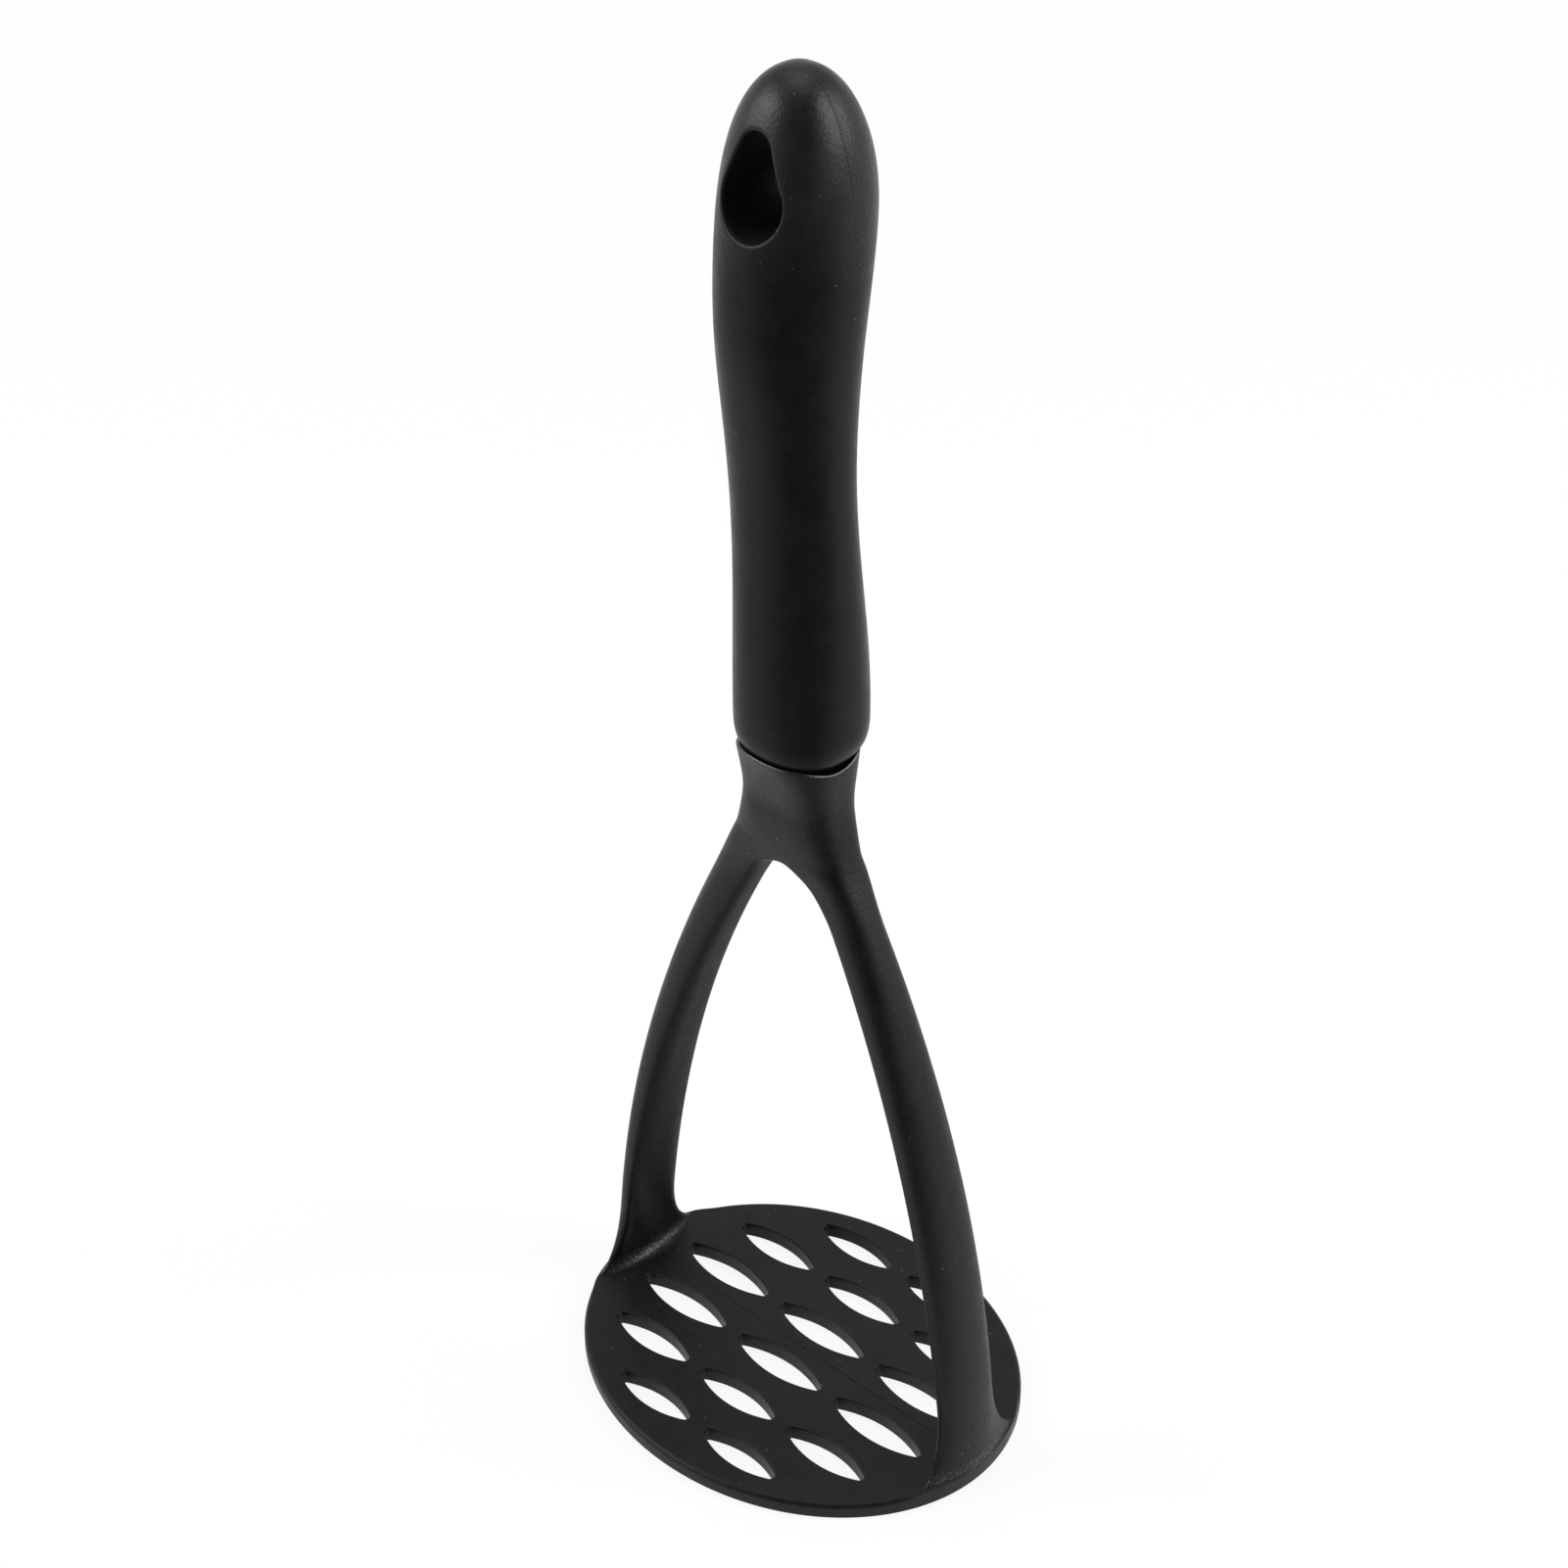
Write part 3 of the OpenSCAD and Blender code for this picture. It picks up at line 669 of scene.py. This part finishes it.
def rubMarks():
    # faint handling streaks: noise stretched along one axis, kept to its crests
    group, given, out = newGroup("rubMarks", [
        ("Vector", "Vector", None), ("Scale", "Float", 60.0), ("Stretch", "Vector", (6.0, 6.0, 1.0))],
        [("Mask", "Float")])
    pulled = node(group, "VectorMath", {0: given["Vector"], 1: given["Stretch"]},
                  operation="MULTIPLY").outputs[0]
    streak = node(group, "TexNoise", {"Vector": pulled, "Scale": given["Scale"], "Detail": 4.0,
                                      "Roughness": 0.55, "Distortion": 0.4}).outputs["Fac"]
    group.links.new(ramp(group, streak, 0.52, 0.78), out["Mask"])
    return group


def partingLine():
    # thin seam where two mould halves met: a narrow band round one coordinate's zero, broken by noise
    group, given, out = newGroup("partingLine", [
        ("Vector", "Vector", None), ("Across", "Float", 0.0), ("Width", "Float", 0.00021)],
        [("Mask", "Float")])
    wander = node(group, "TexNoise", {"Vector": given["Vector"], "Scale": 90.0, "Detail": 2.0}).outputs["Fac"]
    offset = math(group, "MULTIPLY", math(group, "SUBTRACT", wander, 0.5), 0.0001)
    apart = math(group, "ABSOLUTE", math(group, "ADD", given["Across"], offset))
    band = ramp(group, math(group, "DIVIDE", apart, given["Width"]), 1.0, 0.35)
    broken = ramp(group, wander, 0.25, 0.5, 0.45, 1.0)
    group.links.new(math(group, "MULTIPLY", band, broken), out["Mask"])
    return group


effects = {"grain": mouldedGrain(), "dust": dustSpecks(), "rub": rubMarks(), "seam": partingLine()}


def place(tree, effect, values):
    made = tree.nodes.new("ShaderNodeGroup")
    made.node_tree = effects[effect]
    for key, value in values.items():
        if isinstance(value, bpy.types.NodeSocket):
            tree.links.new(value, made.inputs[key])
        else:
            made.inputs[key].default_value = value
    return made.outputs


nylonLook = {"deep": (0.0034, 0.0035, 0.0036), "pale": (0.0062, 0.0063, 0.0065), "speck": (0.3, 0.3, 0.3),
             "dustScale": 500.0, "dustSize": 0.065, "dustAmount": (0.2, 0.2),
             "roughness": (0.38, 0.48), "specular": 0.23, "topSpecular": 0.23, "grainScale": 1900.0,
             "grainHeight": 0.00007, "topGrain": 0.00007, "filletGlint": 0.5,
             "lighterTop": 0.0}

gripLook = {"deep": (0.0042, 0.0043, 0.0044), "pale": (0.0072, 0.0073, 0.0075), "speck": (0.3, 0.3, 0.3),
            "dustScale": 620.0, "dustSize": 0.07, "dustAmount": (0.07, 0.9),
            "roughness": (0.3, 0.4), "specular": 0.105, "topSpecular": 0.25, "grainScale": 2400.0,
            "grainHeight": 0.00003, "topGrain": 0.00006, "filletGlint": 0.0,
            "lighterTop": 0.4}


wear = {"rubShare": 0.35, "dustShare": 0.8, "seamShare": 0.85, "lighterTopTone": (0.02, 0.02, 0.0205),
        "seamTone": (0.0015, 0.0015, 0.0015), "boreShadeTone": (0.01, 0.01, 0.0102),
        "rubPolish": -0.05, "dustRoughness": 0.3, "boreShadeDulling": 0.85, "rimShine": 2.5, "rimPolish": 0.12,
        "seamDulling": 0.7, "seamDepth": 0.00008, "glintScale": 2600.0}


def mixColour(tree, share, a, b):
    made = node(tree, "Mix", {0: share}, data_type="RGBA")
    for index, value in ((6, a), (7, b)):
        if isinstance(value, bpy.types.NodeSocket):
            tree.links.new(value, made.inputs[index])
        else:
            made.inputs[index].default_value = (*value, 1)
    return made.outputs[2]


def blackPlastic(name, look, seamAxis, seamReach, rubStretch, shadeMask, brightMask):
    material = bpy.data.materials.new(name)
    material.use_nodes = True
    tree = material.node_tree
    shader = tree.nodes["Principled BSDF"]
    place3 = node(tree, "TexCoord").outputs["Object"]
    axes = node(tree, "SeparateXYZ", {0: place3}).outputs
    grain = place(tree, "grain", {"Vector": place3, "Scale": look["grainScale"]})
    low, high = look["dustAmount"]
    dust = place(tree, "dust", {"Vector": place3, "Scale": look["dustScale"], "Size": look["dustSize"],
                                "Amount": ramp(tree, axes["Z"], 0.222, 0.25, low, high)})["Mask"]
    rub = place(tree, "rub", {"Vector": place3, "Stretch": rubStretch})["Mask"]
    seam = place(tree, "seam", {"Vector": place3, "Across": axes[seamAxis]})["Mask"]
    seam = math(tree, "MULTIPLY", seam, seamReach(tree, axes))
    tone = mixColour(tree, grain["Mottle"], look["deep"], look["pale"])
    tone = mixColour(tree, math(tree, "MULTIPLY", rub, wear["rubShare"]), tone, look["pale"])
    # the base colour turns lighter towards the handle's top
    lighterTop = math(tree, "MULTIPLY", ramp(tree, axes["Z"], 0.228, 0.25), look["lighterTop"])
    tone = mixColour(tree, lighterTop, tone, wear["lighterTopTone"])
    tone = mixColour(tree, math(tree, "MULTIPLY", dust, wear["dustShare"]), tone, look["speck"])
    tone = mixColour(tree, math(tree, "MULTIPLY", seam, wear["seamShare"]), tone, wear["seamTone"])
    # painted shade in the hanging hole's bore: the colour is set there and most of the shine is cut
    paintedShade = shadeMask(tree, axes)
    tone = mixColour(tree, paintedShade, tone, wear["boreShadeTone"])
    tree.links.new(tone, shader.inputs["Base Color"])
    low, high = look["roughness"]
    rough = math(tree, "ADD", math(tree, "MULTIPLY", grain["Mottle"], high - low), low)
    rough = math(tree, "ADD", rough, math(tree, "MULTIPLY", rub, wear["rubPolish"]))
    rough = math(tree, "ADD", rough, math(tree, "MULTIPLY", dust, wear["dustRoughness"]), True)
    shine = ramp(tree, axes["Z"], 0.222, 0.246, look["specular"], look["topSpecular"])
    unshaded = math(tree, "SUBTRACT", 1.0, math(tree, "MULTIPLY", paintedShade, wear["boreShadeDulling"]))
    shine = math(tree, "MULTIPLY", unshaded, shine)
    bright = brightMask(tree, axes)
    burnished = math(tree, "ADD", 1.0, math(tree, "MULTIPLY", bright, wear["rimShine"]))
    shine = math(tree, "MULTIPLY", burnished, shine)
    rough = math(tree, "SUBTRACT", rough, math(tree, "MULTIPLY", bright, wear["rimPolish"]))
    unseamed = math(tree, "SUBTRACT", 1.0, math(tree, "MULTIPLY", seam, wear["seamDulling"]))
    shine = math(tree, "MULTIPLY", shine, unseamed)
    # polished grains glint in the fillets of the feet
    filletZ = (plate["thick"] + head["footFillet"] / 2) * mm
    fromFillet = math(tree, "ABSOLUTE", math(tree, "SUBTRACT", axes["Z"], filletZ))
    fillets = ramp(tree, fromFillet, 0.00125, 0.0007, 0.0, look["filletGlint"])
    glint = node(tree, "TexNoise", {"Vector": place3, "Scale": wear["glintScale"],
                                    "Detail": 2.0}).outputs["Fac"]
    glint = math(tree, "MULTIPLY", fillets, ramp(tree, glint, 0.48, 0.62))
    # the export drops a linked specular level, so this one shows in renders only
    tree.links.new(math(tree, "ADD", shine, glint), shader.inputs["Specular IOR Level"])
    tree.links.new(rough, shader.inputs["Roughness"])
    # the grain is coarser near the handle's top
    coarse = ramp(tree, axes["Z"], 0.215, 0.24, look["grainHeight"], look["topGrain"])
    bump = node(tree, "Bump", {"Height": grain["Height"], "Strength": 1.0, "Distance": coarse})
    line = node(tree, "Bump", {"Height": seam, "Strength": 1.0, "Distance": wear["seamDepth"],
                               "Normal": bump.outputs[0]}, invert=True)
    tree.links.new(line.outputs[0], shader.inputs["Normal"])
    return material


def boreShadeMask(tree, axes):
    # 1 on the bore of the hanging hole, which is darkened there as painted shade: inside a row of circles
    # that run from its low round to its high one
    near = 1.0
    for t in (0, 0.25, 0.5, 0.75, 1):
        up = math(tree, "SUBTRACT", axes["Z"], (grip["bottom"] + grip["holeH"] + grip["holeRise"] * t) * mm)
        size = node(tree, "CombineXYZ", {0: axes["X"], 1: up}).outputs[0]
        size = node(tree, "VectorMath", {0: size}, operation="LENGTH").outputs["Value"]
        radius = mix(grip["holeWidth"] / 2, grip["holeTop"], t) * mm
        near = math(tree, "MINIMUM", near, math(tree, "SUBTRACT", size, radius))
    return ramp(tree, near, 0.0004, 0.0002)


def rimMask(tree, axes):
    # 1 on the top quarter millimetre of the collar, whose height follows the saddle
    rim = ramp(tree, math(tree, "ABSOLUTE", axes["Y"]), 0.0, head["collarDepth"] / 2 * mm,
               (head["collarZ"] - 0.42) * mm, (rimTop - 0.55) * mm)
    return ramp(tree, math(tree, "SUBTRACT", axes["Z"], rim), 0.0, 0.00018)


def noMask(tree, axes):
    return 0.0


def onPlateOnly(tree, axes):
    # the plate's seam shows on its top and ends at the feet
    reach = (head["footGap"] / 2 - head["footFillet"]) * mm
    between = math(tree, "LESS_THAN", math(tree, "ABSOLUTE", axes["X"]), reach)
    return math(tree, "MULTIPLY", math(tree, "LESS_THAN", axes["Z"], 0.0045), between)


def onDomeOnly(tree, axes):
    # the handle's seam shows at its sides near the top
    return math(tree, "MULTIPLY", ramp(tree, axes["Z"], 0.236, 0.246), 0.35)


nylon = blackPlastic("blackNylon", nylonLook, "Y", onPlateOnly, (5.0, 5.0, 1.0), noMask, rimMask)
satin = blackPlastic("satinHandle", gripLook, "Y", onDomeOnly, (7.0, 7.0, 1.0), boreShadeMask, noMask)
print("materials ready")

# ---------- the pieces ----------

mashingPlate = makePlate("mashingPlate")
dress(mashingPlate, nylon, "nylon", "mashing_plate")
print("mashing plate:", len(mashingPlate.data.polygons), "faces")

headFrame = makeHeadFrame("headFrame")
relax(headFrame, head["relaxBands"], head["relaxRounds"])
headFrame.data.set_sharp_from_angle(angle=np.radians(60))
dress(headFrame, nylon, "nylon", "leg_left", "leg_right", "neck")
print("legs and neck:", len(headFrame.data.polygons), "faces")

handle = makeGrip("contouredHandle")
dress(handle, satin, "handle_plastic", "handle")
print("handle:", len(handle.data.polygons), "faces")

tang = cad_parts["tang"]
tang.data.materials.clear()
tang.data.materials.append(nylon)

# ---------- floor, light and camera ----------

# This light is not plain. In reflections alone, which the camera does not see, the table is dimmed to
# frontLevel towards nearSide and to behindLevel round behindSpot, and the surroundings are dark round
# darkSide. With these three levels at 1 every ray meets a pale stage, and the object comes out lighter.
studio = {"floorSize": 12.0, "floorTone": (0.93, 0.93, 0.93), "floorGlow": 0.88, "low": 1.0, "high": 0.6,
          "nearSide": (0.69, -0.724, 0), "frontFrom": 0.04, "frontTo": 0.2, "frontLevel": 0.25,
          "behindSpot": (-0.03, 0.075, 0), "behindFrom": 0.025, "behindTo": 0.07, "behindLevel": 0.3,
          "darkSide": (0.56, -0.6, 0.57), "darkFrom": 0.55, "darkTo": 0.88, "darkLevel": 0.02}

lamps = {"leftBox": {"place": (-0.7, -0.7, 0.75), "aim": (0, 0, 0.15), "size": (0.6, 0.6), "power": 6},
         "rightBox": {"place": (0.85, 0.6, 0.7), "aim": (0, 0, 0.15), "size": (0.45, 0.7), "power": 8},
         "topBox": {"place": (-0.1, 0.1, 1.3), "aim": (0, 0, 0.1), "size": (0.9, 0.9), "power": 4}}

view = {"azimuth": 43.595, "elevation": 34.0015, "roll": -0.3782, "lens": 73.53, "sensor": 36,
        "place": (0.30595, -0.32483, 0.43333)}


def makeFloor():
    half = studio["floorSize"] / 2
    mesh = bpy.data.meshes.new("floor")
    corners = [(-half, -half, 0), (half, -half, 0), (half, half, 0), (-half, half, 0)]
    mesh.from_pydata(corners, [], [(0, 1, 2, 3)])
    floor = bpy.data.objects.new("floor", mesh)
    bpy.context.scene.collection.objects.link(floor)
    material = bpy.data.materials.new("whiteSweep")
    material.use_nodes = True
    tree = material.node_tree
    shader = tree.nodes["Principled BSDF"]
    shader.inputs["Base Color"].default_value = (*studio["floorTone"], 1)
    shader.inputs["Roughness"].default_value = 0.9
    path = node(tree, "LightPath").outputs
    # what the object reflects: the table's glow is painted darker towards the camera, with a painted shadow
    # close behind the object
    spot = node(tree, "TexCoord").outputs["Object"]
    toward = node(tree, "VectorMath", {0: spot, 1: studio["nearSide"]},
                  operation="DOT_PRODUCT").outputs["Value"]
    away = node(tree, "VectorMath", {0: spot, 1: studio["behindSpot"]},
                operation="DISTANCE").outputs["Value"]
    front = ramp(tree, toward, studio["frontFrom"], studio["frontTo"], 1.0, studio["frontLevel"])
    behind = ramp(tree, away, studio["behindFrom"], studio["behindTo"], studio["behindLevel"], 1.0)
    level = math(tree, "MULTIPLY", front, behind)
    mirrored = node(tree, "Mix", {0: path["Is Glossy Ray"], 2: 1.0, 3: level}, data_type="FLOAT").outputs[0]
    glow = node(tree, "Emission", {"Strength": mirrored})
    seen = math(tree, "MAXIMUM", math(tree, "MAXIMUM", path["Is Camera Ray"], path["Is Glossy Ray"]),
                path["Is Transmission Ray"])
    both = node(tree, "MixShader", {0: math(tree, "MULTIPLY", seen, studio["floorGlow"]),
                                    1: shader.outputs[0], 2: glow.outputs[0]})
    tree.links.new(both.outputs[0], tree.nodes["Material Output"].inputs["Surface"])
    mesh.materials.append(material)


def softBox(name, place, aim, size, power):
    lamp = bpy.data.lights.new(name, "AREA")
    lamp.shape = "RECTANGLE"
    lamp.size, lamp.size_y = size
    lamp.energy = power
    holder = bpy.data.objects.new(name, lamp)
    bpy.context.scene.collection.objects.link(holder)
    holder.location = place
    holder.rotation_euler = (Vector(aim) - Vector(place)).to_track_quat("-Z", "Y").to_euler()


def makeWorld():
    # white near and below the horizon, softer overhead, dark round one direction; the camera sees white
    world = bpy.data.worlds.new("studio")
    bpy.context.scene.world = world
    world.use_nodes = True
    tree = world.node_tree
    direction = node(tree, "TexCoord").outputs["Generated"]
    up = node(tree, "SeparateXYZ", {0: direction}).outputs["Z"]
    level = ramp(tree, up, 0.12, 0.55, studio["low"], studio["high"])
    ahead = node(tree, "VectorMath", {0: direction, 1: studio["darkSide"]},
                 operation="DOT_PRODUCT").outputs["Value"]
    dark = ramp(tree, ahead, studio["darkFrom"], studio["darkTo"])
    level = node(tree, "Mix", {0: dark, 2: level, 3: studio["darkLevel"]}, data_type="FLOAT").outputs[0]
    level = math(tree, "MAXIMUM", level, node(tree, "LightPath").outputs["Is Camera Ray"])
    back = tree.nodes["Background"]
    tree.links.new(level, back.inputs["Strength"])
    back.inputs["Color"].default_value = (1, 1, 1, 1)


def makeCamera():
    az, el, turn = np.radians([view["azimuth"], view["elevation"], view["roll"]])
    back = Vector((np.sin(az) * np.cos(el), -np.cos(az) * np.cos(el), np.sin(el)))
    right = Vector((np.cos(az), np.sin(az), 0))
    up = back.cross(right)
    x = right * np.cos(turn) + up * np.sin(turn)
    y = up * np.cos(turn) - right * np.sin(turn)
    lens = bpy.data.cameras.new("camera")
    lens.lens = view["lens"]
    lens.sensor_width = view["sensor"]
    lens.clip_start = 0.01
    camera = bpy.data.objects.new("camera", lens)
    bpy.context.scene.collection.objects.link(camera)
    camera.matrix_world = Matrix.Translation(view["place"]) @ Matrix((x, y, back)).transposed().to_4x4()
    bpy.context.scene.camera = camera


makeFloor()
makeWorld()
for lampName, lamp in lamps.items():
    softBox(lampName, **lamp)
makeCamera()
bpy.context.scene.view_settings.view_transform = "Standard"
print("stage ready")
